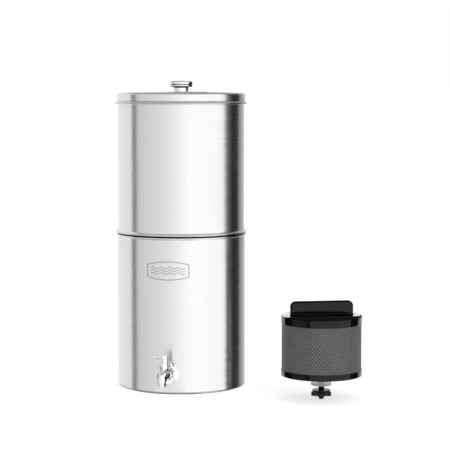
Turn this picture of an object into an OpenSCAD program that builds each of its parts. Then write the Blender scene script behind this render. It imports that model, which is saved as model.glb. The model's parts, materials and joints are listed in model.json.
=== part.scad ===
// Gravity water filter: an upper chamber with a lift-out filter cartridge stands on a lower
// chamber with a lever tap. A second cartridge of the set stands beside the vessel.
// Origin: on the vessel's axis, on the surface that it stands on. The tap faces -Y.

/* [Lower chamber] */
// Outside diameter of the lower chamber
lower_d = 218.8; // [200:0.2:240]
// Height of the lower chamber, up to the seat of the upper one
lower_h = 262.4; // [235:0.2:300]
// Thickness of the sheet steel
sheet_t = 1; // [0.6:0.1:1.4]
// Outside radius of the bottom edge
base_edge_r = 3; // [2:0.5:6]
// Width of the ring that the chamber stands on
foot_ring_w = 11; // [6:1:18]
// Height of the raised middle of the base
base_raise = 2; // [1:0.5:4]
// Radius of the half-round curl along the top edge
curl_r = 1.7; // [1.2:0.1:2.5]
// Width of the ledge that carries the upper chamber
ledge_w = 12; // [9:0.5:16]
// Depth of the lip turned down inside the ledge
lip_h = 6; // [3:0.5:10]

/* [Upper chamber] */
// How far the upper wall is set in from the lower wall
upper_inset = 1.3; // [0.8:0.1:2.5]
// Height from the seat to the top of the rolled rim
upper_h = 225.5; // [200:0.1:260]
// How far the base reaches down into the lower chamber
nest_depth = 14; // [9:0.5:20]
// Radial clearance between the base and the lip round it
nest_gap = 0.6; // [0.3:0.1:1.5]
// Inside radius of the base's bottom corner
nest_corner_r = 5; // [3:0.5:8]
// How far the shoulder bead stands out of the upper wall
shoulder_out = 4.5; // [2.5:0.1:6]
// Thickness of the shoulder bead
shoulder_bead_t = 2.6; // [1.6:0.1:4]
// Height of the shadow gap under the shoulder bead
shoulder_gap = 2.1; // [1.5:0.1:4]
// Depth of the shadow gap, in from the lower wall
shoulder_gap_depth = 5.6; // [4:0.1:6]
// Height of the flare above the shoulder bead
flare_h = 4.6; // [2:0.1:8]
// How far the rolled rim stands out of the upper wall
rim_out = 4.9; // [2.5:0.1:7]
// Height of the rolled rim
rim_h = 4.7; // [3:0.1:8]

/* [Lid] */
// How far the lid's skirt stands out of the upper wall
lid_out = 1.9; // [1:0.1:3]
// Height of the lid's edge above the rolled rim
lid_h = 13.9; // [10:0.1:24]
// Rise of the lid's top from its edge to its middle
lid_dome_h = 2.2; // [1:0.1:4]
// Radius of the lid's top edge
lid_edge_r = 3.4; // [2:0.1:6]
// Depth of the lip that keeps the lid central
lid_lip_h = 7; // [4:0.5:12]
// Radial clearance between that lip and the wall
lid_gap = 0.8; // [0.4:0.1:1.5]
// Diameter of the knob's head
knob_d = 39.2; // [30:0.2:50]
// Thickness of the knob's head
knob_head_h = 10.7; // [8:0.1:14]
// Height of the groove round the head, from its underside
knob_groove_z = 4; // [3:0.1:6]
// Diameter of the knob's stem
knob_stem_d = 25; // [16:0.5:28]
// Height of the knob's stem
knob_stem_h = 8.3; // [6:0.1:14]
// Diameter of the knob's screw
knob_screw_d = 5; // [4:0.5:6]
// Diameter of the washer under the lid
knob_washer_d = 16; // [12:0.5:24]

/* [Badge] */
// Distance from the upper chamber's seat down to the badge's centre
badge_drop = 54.9; // [37:0.1:112]
// Angle of the wall that the badge spans
badge_angle = 38.6; // [20:0.2:50]
// Height of the badge at its middle
badge_mid_h = 32; // [26:0.5:40]
// Height of the badge at its ends
badge_end_h = 21.4; // [14:0.2:24]
// Thickness of the badge plate
badge_t = 0.7; // [0.4:0.1:1.5]
// Width of the raised border
badge_border_w = 1.7; // [1:0.1:3]
// Height of the border and the waves above the plate
badge_relief = 0.6; // [0.3:0.1:1]
// Distance between the wavy strokes
wave_pitch = 4.6; // [4.2:0.1:5.2]
// Height of a wave, from its middle to its crest
wave_h = 1.6; // [0.8:0.1:2]
// Width of a wavy stroke
wave_stroke = 1.5; // [0.8:0.1:2]

/* [Tap] */
// Height of the tap's axis above the floor
tap_z = 36.2; // [30:0.2:80]
// Diameter of the threaded shank through the wall
shank_d = 16; // [13:0.5:18]
// Length of the shank inside the chamber
shank_in = 22; // [18:0.5:30]
// Radial clearance of the shank in the wall
shank_gap = 0.3; // [0.1:0.1:0.6]
// Diameter of the escutcheon
escutcheon_d = 39.5; // [32:0.5:50]
// Height of the escutcheon's dome
escutcheon_h = 6; // [4.5:0.5:9]
// Thickness of the washer between the escutcheon and the wall
outer_washer_t = 2; // [1.6:0.1:3.5]
// Diameter of both tap washers
tap_washer_d = 30; // [26:0.5:32]
// Thickness of the washer inside the wall
inner_washer_t = 2.5; // [1.6:0.1:4]
// Lock nut, across the flats
lock_nut_af = 24; // [20:0.5:27]
// Thickness of the lock nut
lock_nut_t = 7; // [5:0.5:10]
// Diameter of the tap's base collar
collar_d = 22.2; // [19:0.2:28]
// Thickness of the base collar
collar_t = 3.4; // [2:0.2:5]
// Diameter of the neck between the collar and the valve
neck_d = 14; // [11:0.5:16]
// Distance from the wall to the valve's axis
valve_out = 27; // [25:0.5:34]
// Diameter of the round valve housing
housing_d = 19.6; // [17.6:0.2:23]
// Diameter of the housing's top boss
boss_d = 14.8; // [12.8:0.2:17]
// Height of the spout's level stretch above the tap's axis
spout_rise = 4; // [3:0.1:5]
// Distance from the wall to the outlet
spout_out = 44.7; // [43:0.1:56]
// Outside diameter of the knee
knee_d = 16.4; // [14:0.2:16.8]
// Bend radius of the knee
knee_bend_r = 8.5; // [8.5:0.1:12]
// Outside diameter of the spout's end
spout_d = 13.2; // [11:0.2:13.8]
// Height of the outlet above the floor
outlet_z = 21.6; // [10:0.2:22]
// Bore of the spout
spout_bore_d = 7.8; // [6:0.2:8.4]
// Bore of the shank
inlet_bore_d = 7; // [5:0.2:8]
// Diameter of the valve plug at its top
plug_top_d = 9.4; // [8.8:0.1:9.8]
// Diameter of the valve plug at its foot
plug_foot_d = 8; // [7.2:0.1:8.6]
// Cross bore of the plug
plug_bore_d = 5.2; // [4:0.1:5.6]
// Running clearance of the turning parts
turn_gap = 0.05; // [0.02:0.01:0.09]
// Diameter of the plug's stem
plug_stem_d = 5.2; // [4.4:0.1:6]
// Section diameter of the stem's O-ring
o_ring_t = 1.2; // [0.8:0.1:1.4]
// Diameter of the bonnet and of the lever's hub
barrel_d = 11.4; // [10.2:0.1:12.2]
// Height of the bonnet above the housing
bonnet_h = 10; // [8:0.2:14]
// Height of the seam between the bonnet and the hub
hub_seam_h = 0.3; // [0.1:0.1:0.6]
// Height of the lever's hub
hub_h = 11.6; // [10:0.2:15]
// Distance from the hub's top to the lever's centre line
lever_drop = 2.9; // [2.6:0.1:4]
// Diameter of the lever's rod
lever_rod_d = 3.8; // [3:0.1:4.6]
// Distance from the valve's axis to the lever's collar
lever_collar_x = 10; // [8:0.1:12]
// Diameter of the lever's collar
lever_collar_d = 7.4; // [5:0.1:8]
// Distance from the valve's axis to the centre of the ball end
lever_ball_x = 17; // [15.5:0.1:26]
// Diameter of the ball end
lever_ball_d = 7; // [5:0.1:9]
// Diameter of the lever screw's head
lever_screw_d = 7.2; // [5:0.1:7.6]

/* [Cartridge] */
// Diameter of the two end caps
cap_d = 133.8; // [110:0.2:140]
// How far the end caps stand out of the mesh sleeve
cap_lap = 1.4; // [0.9:0.1:4]
// Height of the bottom cap's underside above the stem's end
cap_z = 40; // [38:0.1:50]
// Thickness of the bottom cap
bottom_cap_t = 9.9; // [8:0.1:14]
// Height of the sleeve that shows between the caps
sleeve_h = 76.4; // [50:0.2:95]
// Thickness of the top cap
top_cap_t = 12.6; // [7:0.1:14]
// Thickness of each cap behind the filter's ends
cap_floor_t = 3; // [2:0.2:4.5]
// Thickness of the mesh sleeve
sleeve_t = 1.2; // [0.8:0.1:2]
// Openings round the sleeve, an even number
sleeve_cols = 36; // [24:2:48]
// Rows of openings in the sleeve
sleeve_rows = 7; // [5:1:10]
// Width of the bars between the openings
sleeve_bar = 2; // [1:0.1:2.8]
// Thickness of the fleece wrap
wrap_t = 4; // [2:0.2:8]
// Outside diameter of the core tube
core_d = 26; // [22:0.5:34]
// Thickness of the core tube
core_t = 2; // [1.4:0.1:3]
// Fitting gap between the cartridge's layers
layer_gap = 0.2; // [0.1:0.05:0.4]
// Width of the grip
grip_w = 105.2; // [60:0.1:110]
// Height of the grip above the top cap
grip_h = 24.1; // [18:0.1:40]
// Thickness of the grip
grip_t = 8; // [6:0.1:14]
// Corner radius of the grip
grip_corner_r = 9; // [6:0.1:14]
// Softened edge of the grip and the caps
grip_edge = 1.2; // [0.6:0.1:2]
// Diameter of the threaded stem
stem_d = 10.6; // [8:0.1:11]
// Diameter of the stem's plain end
stem_end_d = 8.7; // [7:0.1:9]
// Length of the stem's plain end
stem_end_h = 3; // [2:0.2:4.6]
// Water channel through the stem
stem_bore_d = 5; // [3:0.1:5.6]
// Diameter of the boss round the stem
stem_boss_d = 28; // [20:0.5:32]
// Height of the stem below the sealing washer
stem_reach = 22.8; // [22:0.1:30]
// Diameter of the sealing washer
seal_d = 33.9; // [26:0.1:40]
// Thickness of the sealing washer
seal_t = 8.8; // [4:0.1:9]
// Diameter of the backing washer
backing_d = 30; // [22:0.1:34]
// Thickness of the backing washer
backing_t = 2.4; // [1.5:0.1:4]
// Span of the hand nut's arms
hand_nut_span = 33; // [26:0.5:40]
// Thickness of the hand nut
hand_nut_t = 9; // [6:0.1:9.4]
// Width of the hand nut's arms
hand_nut_arm_w = 8.6; // [6:0.1:10]
// Diameter of the hand nut's hub
hand_nut_hub_d = 15; // [13:0.1:20]
// Height of the standing cartridge's hand nut above the floor
hand_nut_z = 4; // [3.8:0.1:6]
// Radial clearance of the stem in the chamber's floor
stem_hole_gap = 0.5; // [0.3:0.1:1.5]

/* [Standing cartridge] */
// Distance from the vessel's axis to the standing cartridge's axis
stand_off = 274.5; // [230:0.5:330]
// Direction of the standing cartridge, from the tap towards +X
stand_angle = 68.95; // [40:0.5:100]
// Turn of its grip from the X axis
stand_grip_turn = 19.4; // [-90:0.2:90]
// Turn of its hand nut from the X axis
stand_nut_turn = 7.2; // [0:0.2:90]

/* [Hidden] */
$fn = 96;
HULL_FN = 32;
WALL_FN = 480;
CUT = 1;

lower_r = lower_d / 2;
lip_r = lower_r - ledge_w;
foot_r = lower_r - base_edge_r - foot_ring_w;
seat_z = lower_h;
badge_z = seat_z - badge_drop;
upper_r = lower_r - upper_inset;
nest_r = lip_r - nest_gap;
floor_z = seat_z - nest_depth;
floor_top_z = floor_z + sheet_t;
tip_r = upper_r + shoulder_out;
rim_z = seat_z + upper_h;
lid_r = upper_r + lid_out;
lid_lip_r = upper_r - sheet_t - lid_gap;
lid_top_z = rim_z + lid_h;
lid_panel_z = lid_top_z + lid_dome_h;
stem_hole_r = stem_d / 2 + stem_hole_gap;
knob_neck_r = knob_stem_d / 2;

knee_start = spout_out - knee_bend_r;
taper_h = 3.5;
boss_top = 12;
plug_foot = -3.6;
plug_head = 9;
bonnet_spigot_d = barrel_d - 1.4;
hub_z = boss_top + bonnet_h + hub_seam_h;
lever_z = hub_z + hub_h - lever_drop;
stem_flat_h = hub_h - 1.2;

seal_z = stem_reach;
boss_z = seal_z + seal_t;
sleeve_z = cap_z + bottom_cap_t;
top_cap_z = sleeve_z + sleeve_h;
cap_top_z = top_cap_z + top_cap_t;
media_z = cap_z + cap_floor_t + layer_gap;
media_h = cap_top_z - cap_floor_t - layer_gap - media_z;
sleeve_d = cap_d - 2 * cap_lap;
sleeve_in_r = sleeve_d / 2 - sleeve_t;
wrap_out_r = sleeve_in_r - layer_gap;
wrap_in_r = wrap_out_r - wrap_t;
carbon_out_r = wrap_in_r - layer_gap;
core_out_r = core_d / 2;
core_in_r = core_out_r - core_t;
cap_rim_in_r = sleeve_d / 2 + layer_gap;
fitted_z = floor_top_z - seal_z;
fitted_nut_z = floor_z - backing_t - hand_nut_t;

// ---- outline helpers ----

// Points of an arc about c, from angle a0 to a1; ry makes it elliptical.
function arc(c, r, a0, a1, ry = 0, n = 8) =
    [for (i = [0:n]) let (a = a0 + (a1 - a0) * i / n)
        [c[0] + r * cos(a), c[1] + (ry > 0 ? ry : r) * sin(a)]];

module tube(r_out, r_in, h) {
    difference() {
        cylinder(r = r_out, h = h);
        translate([0, 0, -CUT]) cylinder(r = r_in, h = h + 2 * CUT);
    }
}

// A disc with both outer edges rounded, and a bore.
module soft_ring(r_out, r_in, h, edge) {
    rotate_extrude() polygon(concat(
        [[r_in, 0]],
        arc([r_out - edge, edge], edge, -90, 0, n = 6),
        arc([r_out - edge, h - edge], edge, 0, 90, n = 6),
        [[r_in, h]]));
}

// ---- placement ----

// Origin on the tap's axis at the outside of the wall; +Z of the child points outward.
module outward(from = 0) {
    translate([0, -lower_r - from, tap_z]) rotate([90, 0, 0]) children();
}

// Origin on the valve's axis at the height of the tap's axis.
module on_valve(z = 0) {
    translate([0, -lower_r - valve_out, tap_z + z]) children();
}

module fitted(z = fitted_z) {
    translate([0, 0, z]) children();
}

module standing(turn = stand_grip_turn, z = 0) {
    translate([stand_off * sin(stand_angle), -stand_off * cos(stand_angle), z])
        rotate([0, 0, turn]) children();
}

// ---- vessel ----

module lower_chamber_shell() {
    inner_edge_r = base_edge_r - sheet_t;
    ledge_fillet = 2;
    color("silver") difference() {
        rotate_extrude() polygon(concat(
            [[0, base_raise], [foot_r - base_raise, base_raise], [foot_r, 0]],
            arc([lower_r - base_edge_r, base_edge_r], base_edge_r, -90, 0),
            [[lower_r, lower_h - 2.25 * curl_r]],
            arc([lower_r, lower_h - curl_r], curl_r, -75, 90),
            arc([lip_r + 1.5, lower_h - 1.5], 1.5, 90, 180, n = 4),
            [[lip_r, lower_h - lip_h], [lip_r + sheet_t, lower_h - lip_h]],
            [[lip_r + sheet_t, lower_h - sheet_t]],
            arc([lower_r - sheet_t - ledge_fillet, lower_h - sheet_t - ledge_fillet],
                ledge_fillet, 90, 0),
            arc([lower_r - base_edge_r, base_edge_r], inner_edge_r, 0, -90),
            [[foot_r, sheet_t], [foot_r - base_raise, base_raise + sheet_t]],
            [[0, base_raise + sheet_t]]));
        outward(-ledge_w) cylinder(d = shank_d + 2 * shank_gap, h = 2 * ledge_w);
    }
}

module upper_chamber_shell() {
    wall_in = upper_r - sheet_t;
    gap_r = lower_r - shoulder_gap_depth;
    bead_z = seat_z + shoulder_gap;
    bead_r = shoulder_bead_t / 2;
    flare_z = bead_z + shoulder_bead_t;
    flare_r = tip_r - bead_r;
    step_in = gap_r - sheet_t;
    hem_r = rim_h / 4;
    color("silver") rotate_extrude() polygon(concat(
        [[stem_hole_r, floor_z]],
        arc([nest_r - nest_corner_r, floor_z + nest_corner_r], nest_corner_r, -90, 0),
        [[nest_r, seat_z], [gap_r, seat_z], [gap_r, bead_z]],
        arc([flare_r, bead_z + bead_r], bead_r, -90, 90),
        arc([flare_r, flare_z + flare_h], flare_r - upper_r, 270, 180, ry = flare_h),
        [[upper_r, rim_z - rim_h]],
        arc([upper_r + rim_out - hem_r, rim_z - rim_h + hem_r], hem_r, -90, 0),
        arc([upper_r + 1, rim_z - rim_h + hem_r], rim_out - 1, 0, 90, ry = rim_h - hem_r),
        arc([wall_in + sheet_t, rim_z - sheet_t], sheet_t, 90, 180, n = 4),
        [[wall_in, flare_z + sheet_t], [step_in, flare_z], [step_in, seat_z + sheet_t]],
        [[nest_r - sheet_t, seat_z + sheet_t]],
        arc([nest_r - nest_corner_r, floor_z + nest_corner_r], nest_corner_r - sheet_t, 0, -90),
        [[stem_hole_r, floor_top_z]]));
}

module lid_pan() {
    edge_in = lid_r - lid_edge_r;
    flat_r = knob_washer_d;
    function dome(r) = lid_panel_z - lid_dome_h * pow((r - flat_r) / (edge_in - flat_r), 2);
    dome_rs = [for (i = [1:10]) edge_in + (flat_r - edge_in) * i / 10];
    color("silver") difference() {
        rotate_extrude() polygon(concat(
            [[lid_lip_r - sheet_t, rim_z - lid_lip_h], [lid_lip_r, rim_z - lid_lip_h]],
            [[lid_lip_r, rim_z], [lid_r - 0.6, rim_z], [lid_r, rim_z + 0.6]],
            arc([edge_in, lid_top_z - lid_edge_r], lid_edge_r, 0, 90),
            [for (r = dome_rs) [r, dome(r)]],
            [[0, lid_panel_z], [0, lid_panel_z - sheet_t]],
            [for (i = [9:-1:0]) [dome_rs[i], dome(dome_rs[i]) - sheet_t]],
            arc([edge_in, lid_top_z - lid_edge_r], lid_edge_r - sheet_t, 90, 0),
            [[lid_r - sheet_t, rim_z + sheet_t], [lid_lip_r - sheet_t, rim_z + sheet_t]]));
        translate([0, 0, lid_panel_z - sheet_t - CUT])
            cylinder(d = knob_screw_d + 0.4, h = sheet_t + 2 * CUT);
    }
}

module lid_knob() {
    head_z = lid_panel_z + knob_stem_h;
    head_r = knob_d / 2;
    groove_z = head_z + knob_groove_z;
    top_z = head_z + knob_head_h;
    groove_d = 1.6;
    groove_h = 0.7;
    crown_r = 2.3;
    crown_rise = 0.9;
    lip_in = 0.5;
    lip_r = 1.8;
    neck_fillet = 1;
    color("gainsboro") difference() {
        rotate_extrude() polygon(concat(
            [[0, lid_panel_z], [knob_neck_r - lip_in, lid_panel_z]],
            [[knob_neck_r, lid_panel_z + lip_in]],
            arc([knob_neck_r + neck_fillet, head_z - neck_fillet], neck_fillet, 180, 90, n = 4),
            arc([head_r - lip_in - lip_r, head_z + lip_r], lip_r, -75, 0, n = 5),
            [[head_r - lip_in, groove_z - groove_h], [head_r - groove_d, groove_z - groove_h / 2]],
            [[head_r - groove_d, groove_z + groove_h / 2]],
            [[head_r - lip_in / 2, groove_z + groove_h]],
            arc([head_r - crown_r, top_z - crown_r - crown_rise], crown_r, 0, 74),
            [[head_r * 0.45, top_z - crown_rise / 6], [0, top_z]]));
        translate([0, 0, lid_panel_z - CUT]) cylinder(d = knob_screw_d, h = knob_stem_h + CUT);
    }
}

module knob_washer() {
    color("darkgray") translate([0, 0, lid_panel_z - sheet_t - 1.2])
        tube(knob_washer_d / 2, knob_screw_d / 2 + 0.2, 1.2);
}

module knob_screw() {
    head_top = lid_panel_z - sheet_t - 1.2;
    head_r = knob_screw_d * 0.95;
    color("darkgray") {
        translate([0, 0, head_top - 0.01]) cylinder(d = knob_screw_d - 0.1, h = knob_stem_h + 1);
        difference() {
            translate([0, 0, head_top - 3]) soft_ring(head_r, 0, 3, 0.9);
            for (turn = [0, 90]) translate([0, 0, head_top - 3]) rotate([0, 0, turn])
                cube([head_r * 1.1, 1, 2.4], center = true);
        }
    }
}

// ---- badge ----

// Front outline of the badge: two shallow arcs and two straight ends.
module badge_outline(inset = 0) {
    half_w = lower_r * sin(badge_angle / 2);
    rise = (badge_mid_h - badge_end_h) / 2;
    bow_r = (half_w * half_w + rise * rise) / (2 * rise);
    intersection() {
        square([2 * (half_w - inset), badge_mid_h + 2 * CUT], center = true);
        translate([0, badge_mid_h / 2 - bow_r]) circle(r = bow_r - inset, $fn = 240);
        translate([0, bow_r - badge_mid_h / 2]) circle(r = bow_r - inset, $fn = 240);
    }
}

// A wavy stroke across the badge, at height y.
module badge_wave(y, half_w) {
    steps = 48;
    crests = 4;
    function wave(x) = y + wave_h * sin(360 * crests * (x + half_w) / (2 * half_w));
    xs = [for (i = [0:steps]) -half_w + 2 * half_w * i / steps];
    polygon(concat(
        [for (x = xs) [x, wave(x) + wave_stroke / 2]],
        [for (i = [steps:-1:0]) [xs[i], wave(xs[i]) - wave_stroke / 2]]));
}

// Wraps a front outline onto the wall, between two heights above it.
module on_wall(low, high) {
    intersection() {
        translate([0, 0, badge_z - badge_mid_h]) difference() {
            cylinder(r = lower_r + high, h = 2 * badge_mid_h, $fn = WALL_FN);
            translate([0, 0, -CUT])
                cylinder(r = lower_r + low, h = 2 * badge_mid_h + 2 * CUT, $fn = WALL_FN);
        }
        translate([0, 0, badge_z]) rotate([90, 0, 0])
            linear_extrude(height = lower_r + 2 * high) children();
    }
}

module badge_plate() {
    wave_w = lower_r * sin(badge_angle / 2) - 4 * badge_border_w;
    color("gainsboro") {
        on_wall(0, badge_t) badge_outline();
        on_wall(badge_t / 2, badge_t + badge_relief) difference() {
            badge_outline();
            badge_outline(badge_border_w);
        }
        on_wall(badge_t / 2, badge_t + badge_relief)
            for (row = [-1:1]) badge_wave(row * wave_pitch, wave_w);
    }
}

// ---- tap ----

// The water way's centre line: level, round the knee and down to the outlet.
module knee(d) {
    translate([0, -lower_r - knee_start, tap_z + spout_rise - knee_bend_r])
        rotate([180, -90, 0]) rotate_extrude(angle = 90)
            translate([knee_bend_r, 0]) circle(d = d);
}

module tap_body() {
    collar_z = escutcheon_h + collar_t;
    drop_z = tap_z + spout_rise - knee_bend_r;
    color("whitesmoke") difference() {
        union() {
            outward(-sheet_t - shank_in) cylinder(d = shank_d, h = sheet_t + shank_in + collar_z - 0.5);
            outward(escutcheon_h) soft_ring(collar_d / 2, 0, collar_t, 0.8);
            outward(collar_z - 0.2) cylinder(d1 = collar_d - 5, d2 = neck_d, h = 3.2);
            outward(collar_z) cylinder(d = neck_d, h = valve_out - collar_z);
            on_valve(2) sphere(d = housing_d);
            on_valve(2) cylinder(d = boss_d, h = boss_top - 2.8);
            on_valve(boss_top - 0.8) cylinder(d1 = boss_d, d2 = boss_d - 1.6, h = 0.8);
            translate([0, 0, spout_rise]) outward(valve_out)
                cylinder(d = knee_d, h = knee_start - valve_out);
            knee(knee_d);
            translate([0, -lower_r - spout_out, drop_z - taper_h])
                cylinder(d1 = spout_d, d2 = knee_d, h = taper_h);
            translate([0, -lower_r - spout_out, outlet_z])
                cylinder(d = spout_d, h = drop_z - taper_h - outlet_z);
        }
        outward(-sheet_t - shank_in - CUT)
            cylinder(d = inlet_bore_d, h = valve_out + sheet_t + shank_in + CUT);
        on_valve(plug_foot - 0.3) cylinder(
            d1 = plug_foot_d + 2 * turn_gap, d2 = plug_top_d + 2 * turn_gap,
            h = plug_head - plug_foot + 0.6);
        on_valve(plug_head) cylinder(d = bonnet_spigot_d, h = boss_top);
        translate([0, 0, spout_rise]) outward(valve_out)
            cylinder(d = spout_bore_d, h = knee_start - valve_out);
        knee(spout_bore_d);
        translate([0, -lower_r - spout_out, outlet_z - CUT])
            cylinder(d = spout_bore_d, h = drop_z - outlet_z + CUT);
    }
}

module tap_escutcheon() {
    rim_r = escutcheon_d / 2;
    hub_r = shank_d / 2 + shank_gap;
    seat_r = tap_washer_d / 2;
    top_r = collar_d / 2;
    color("whitesmoke") outward() rotate_extrude() polygon(concat(
        [[hub_r, outer_washer_t], [seat_r, outer_washer_t], [rim_r - 1, 0.3]],
        [[rim_r, 0.3], [rim_r, 1.3]],
        arc([top_r, 1.3], rim_r - top_r, 0, 90, ry = escutcheon_h - 1.3, n = 10),
        [[hub_r, escutcheon_h]]));
}

module tap_outer_washer() {
    color("dimgray") difference() {
        outward(-3) cylinder(d = tap_washer_d, h = 3 + outer_washer_t);
        outward(-4) cylinder(d = shank_d + 2 * shank_gap, h = 6 + outer_washer_t);
        cylinder(r = lower_r, h = 2 * tap_z + tap_washer_d, $fn = WALL_FN);
    }
}

module tap_inner_washer() {
    back = sheet_t + inner_washer_t;
    color("dimgray") intersection() {
        difference() {
            outward(-back) cylinder(d = tap_washer_d, h = back);
            outward(-back - CUT) cylinder(d = shank_d + 2 * shank_gap, h = back + 2 * CUT);
        }
        cylinder(r = lower_r - sheet_t, h = 2 * tap_z + tap_washer_d, $fn = WALL_FN);
    }
}

module tap_lock_nut() {
    color("silver") outward(-sheet_t - inner_washer_t - lock_nut_t) difference() {
        rotate([0, 0, 30]) cylinder(d = lock_nut_af / cos(30), h = lock_nut_t, $fn = 6);
        translate([0, 0, -CUT]) cylinder(d = shank_d + 2 * turn_gap, h = lock_nut_t + 2 * CUT);
    }
}

module tap_bonnet() {
    stem_hole_d = plug_stem_d + 2 * turn_gap;
    color("whitesmoke") on_valve(plug_head + 0.4) difference() {
        union() {
            cylinder(d = bonnet_spigot_d, h = boss_top - plug_head - 0.4 + CUT);
            translate([0, 0, boss_top - plug_head - 0.4])
                soft_ring(barrel_d / 2, 0, bonnet_h, 0.4);
        }
        translate([0, 0, -CUT]) cylinder(d = stem_hole_d, h = bonnet_h + boss_top);
    }
}

module tap_plug() {
    stem_top = hub_z + stem_flat_h;
    groove_z = boss_top + bonnet_h / 2;
    groove_r = plug_stem_d / 2 - o_ring_t;
    color("silver") on_valve() difference() {
        union() {
            translate([0, 0, plug_foot])
                cylinder(d1 = plug_foot_d, d2 = plug_top_d, h = plug_head - plug_foot);
            cylinder(d = plug_stem_d, h = hub_z);
            translate([0, 0, hub_z]) intersection() {
                cylinder(d = plug_stem_d, h = stem_flat_h);
                translate([-plug_stem_d / 2, -plug_stem_d * 0.32, 0])
                    cube([plug_stem_d, plug_stem_d * 0.82, stem_flat_h]);
            }
        }
        translate([0, 0, groove_z - o_ring_t * 0.55]) tube(plug_stem_d, groove_r, o_ring_t * 1.1);
        translate([-plug_top_d, 0, 2]) rotate([0, 90, 0])
            cylinder(d = plug_bore_d, h = 2 * plug_top_d);
    }
}

module tap_o_ring() {
    ring_r = (plug_stem_d - o_ring_t) / 2 - 0.02;
    color("black") on_valve(boss_top + bonnet_h / 2)
        rotate_extrude() translate([ring_r, 0]) circle(d = o_ring_t - 0.04);
}

module tap_lever() {
    hub_r = barrel_d / 2;
    hub_edge_r = 1.1;
    flat_y = -plug_stem_d * 0.32 - 0.02;
    color("whitesmoke") difference() {
        union() {
            on_valve(hub_z) rotate_extrude() polygon(concat(
                [[0, 0], [hub_r - 0.3, 0], [hub_r, 0.3]],
                arc([hub_r - hub_edge_r, hub_h - hub_edge_r], hub_edge_r, 0, 90, n = 6),
                [[0, hub_h + 0.3]]));
            on_valve(lever_z) rotate([0, -90, 0]) {
                cylinder(d = lever_rod_d, h = lever_ball_x);
                translate([0, 0, lever_collar_x - 1]) soft_ring(lever_collar_d / 2, 0, 2, 0.9);
                translate([0, 0, lever_collar_x])
                    cylinder(d1 = lever_rod_d + 2, d2 = lever_rod_d - 0.6, h = 4.6);
                translate([0, 0, lever_ball_x]) sphere(d = lever_ball_d);
            }
        }
        on_valve(hub_z - CUT) intersection() {
            cylinder(d = plug_stem_d + 0.04, h = stem_flat_h + CUT + 0.05);
            translate([-plug_stem_d, flat_y, 0]) cube([2 * plug_stem_d, 2 * plug_stem_d, hub_h]);
        }
        on_valve(lever_z) rotate([90, 0, 0]) cylinder(d = 2.6, h = barrel_d);
    }
}

module tap_lever_screw() {
    shank_start = plug_stem_d * 0.32 + 0.05;
    head_s = barrel_d / 2 - 0.9;
    color("gainsboro") on_valve(lever_z) rotate([90, 0, 0]) {
        translate([0, 0, shank_start]) cylinder(d = 2.5, h = barrel_d / 2 - shank_start + 0.5);
        difference() {
            intersection() {
                translate([0, 0, head_s]) cylinder(d = lever_screw_d, h = 3);
                translate([0, 0, head_s - lever_screw_d + 2.6])
                    sphere(d = 2 * lever_screw_d);
            }
            rotate([90, 0, 0]) cylinder(r = barrel_d / 2 + 0.02, h = 4 * barrel_d, center = true);
        }
    }
}

// ---- cartridge ----

// A cap's round edge and its potting recess, open towards +Z.
module cap_bowl(thick) {
    cap_r = cap_d / 2;
    rotate_extrude() polygon(concat(
        [[0, 0]],
        arc([cap_r - grip_edge, grip_edge], grip_edge, -90, 0, n = 6),
        arc([cap_r - 0.5, thick - 0.5], 0.5, 0, 90, n = 3),
        [[cap_rim_in_r, thick], [cap_rim_in_r, cap_floor_t], [0, cap_floor_t]]));
}

// Upright outline of the grip, rounded at its two top corners.
module grip_outline(inset) {
    half_w = grip_w / 2 - inset;
    corner = grip_corner_r - inset;
    top = grip_h - inset;
    translate([-half_w, 0]) square([2 * half_w, top - corner]);
    translate([-half_w + corner, 0]) square([2 * (half_w - corner), top]);
    for (side = [-1, 1]) translate([side * (half_w - corner), top - corner])
        circle(r = corner, $fn = HULL_FN);
}

module grip() {
    rotate([90, 0, 0]) hull() {
        linear_extrude(height = grip_t, center = true) grip_outline(grip_edge);
        linear_extrude(height = grip_t - 2 * grip_edge, center = true) grip_outline(0);
    }
}

module top_cap() {
    color("black") {
        translate([0, 0, cap_top_z]) mirror([0, 0, 1]) cap_bowl(top_cap_t);
        translate([0, 0, cap_top_z - 0.5]) grip();
    }
}

module bottom_cap() {
    color("black") difference() {
        union() {
            translate([0, 0, cap_z]) cap_bowl(bottom_cap_t);
            translate([0, 0, boss_z]) cylinder(d = stem_boss_d, h = cap_z - boss_z + 0.5);
            translate([0, 0, stem_end_h]) cylinder(d = stem_d, h = boss_z - stem_end_h + 0.5);
            cylinder(d = stem_end_d, h = stem_end_h + 0.5);
        }
        translate([0, 0, -CUT]) cylinder(d = stem_bore_d, h = cap_z + cap_floor_t + 2 * CUT);
    }
}

// Diamond openings in staggered rows, each cut through the near wall alone.
module mesh_sleeve() {
    pitch_a = 360 / sleeve_cols;
    pitch_z = sleeve_h / (sleeve_rows + 0.5);
    half_w = sleeve_d / 2 * sin(pitch_a / 2) - sleeve_bar / 2;
    half_h = pitch_z / 2 - sleeve_bar / 2;
    color("dimgray") difference() {
        translate([0, 0, media_z]) tube(sleeve_d / 2, sleeve_in_r, media_h);
        for (row = [0:sleeve_rows - 1], col = [0:sleeve_cols - 1])
            translate([0, 0, sleeve_z + (row + 0.75) * pitch_z])
                rotate([90, 0, (col + row % 2 / 2) * pitch_a])
                    translate([0, 0, sleeve_in_r - CUT]) linear_extrude(height = sleeve_t + 2 * CUT)
                        polygon([[-half_w, 0], [0, -half_h], [half_w, 0], [0, half_h]]);
    }
}

module fleece_wrap() {
    color("dimgray") translate([0, 0, media_z]) tube(wrap_out_r, wrap_in_r, media_h);
}

module carbon_block() {
    color("black") translate([0, 0, media_z])
        tube(carbon_out_r, core_out_r + layer_gap, media_h);
}

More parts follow.
